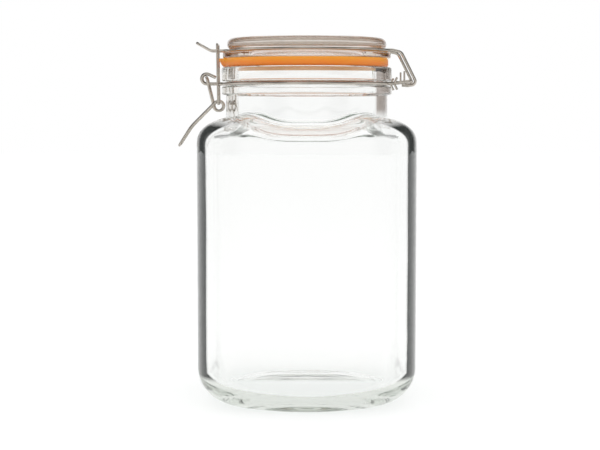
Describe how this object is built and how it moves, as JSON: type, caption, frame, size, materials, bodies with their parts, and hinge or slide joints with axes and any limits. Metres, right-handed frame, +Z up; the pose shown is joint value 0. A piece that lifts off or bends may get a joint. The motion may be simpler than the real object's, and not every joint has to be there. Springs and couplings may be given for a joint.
{
  "type": "clip-top jar",
  "caption": "Square clear glass storage jar with a round neck, a hinged glass lid on an orange rubber seal and a wire lever clip.",
  "frame": {"origin": "on the axis of the jar, in the plane that its foot stands on", "axes": "+Z up along the jar's axis, -Y out of the front face, -X towards the clip, +X towards the lid's hinge"},
  "size_m": [0.1337, 0.1218, 0.2026],
  "materials": {
    "clear_glass": "clear, smooth",
    "lid_glass": "clear, smooth",
    "orange_rubber": "satin rubber",
    "steel_wire": "drawn wire, bright"
  },
  "bodies": {
    "jar": {"glass_jar": "clear_glass", "neck_wire": "steel_wire"},
    "lid": {"glass_lid": "lid_glass", "seal": "orange_rubber", "lid_wire": "steel_wire"},
    "lever": {"lever": "steel_wire"},
    "bail": {"bail": "steel_wire"}
  },
  "joints": [
    {"name": "lid_hinge", "type": "hinge", "parent": "jar", "child": "lid", "pos_m": [0.058, 0, 0.17855], "axis": [0, 1, 0], "range_deg": [0, 210]},
    {"name": "lever_pivot", "type": "hinge", "parent": "jar", "child": "lever", "pos_m": [-0.0564, 0, 0.18095], "axis": [0, 1, 0], "range_deg": [0, 165]},
    {"name": "bail_swing", "type": "hinge", "parent": "lever", "child": "bail", "pos_m": [-0.0497, 0, 0.166], "axis": [0, 1, 0], "range_deg": [-102.8, 0.5]}
  ],
  "couplings": [
    {"joint": "bail_swing", "follows": "lever_pivot", "ratio": -0.62}
  ]
}
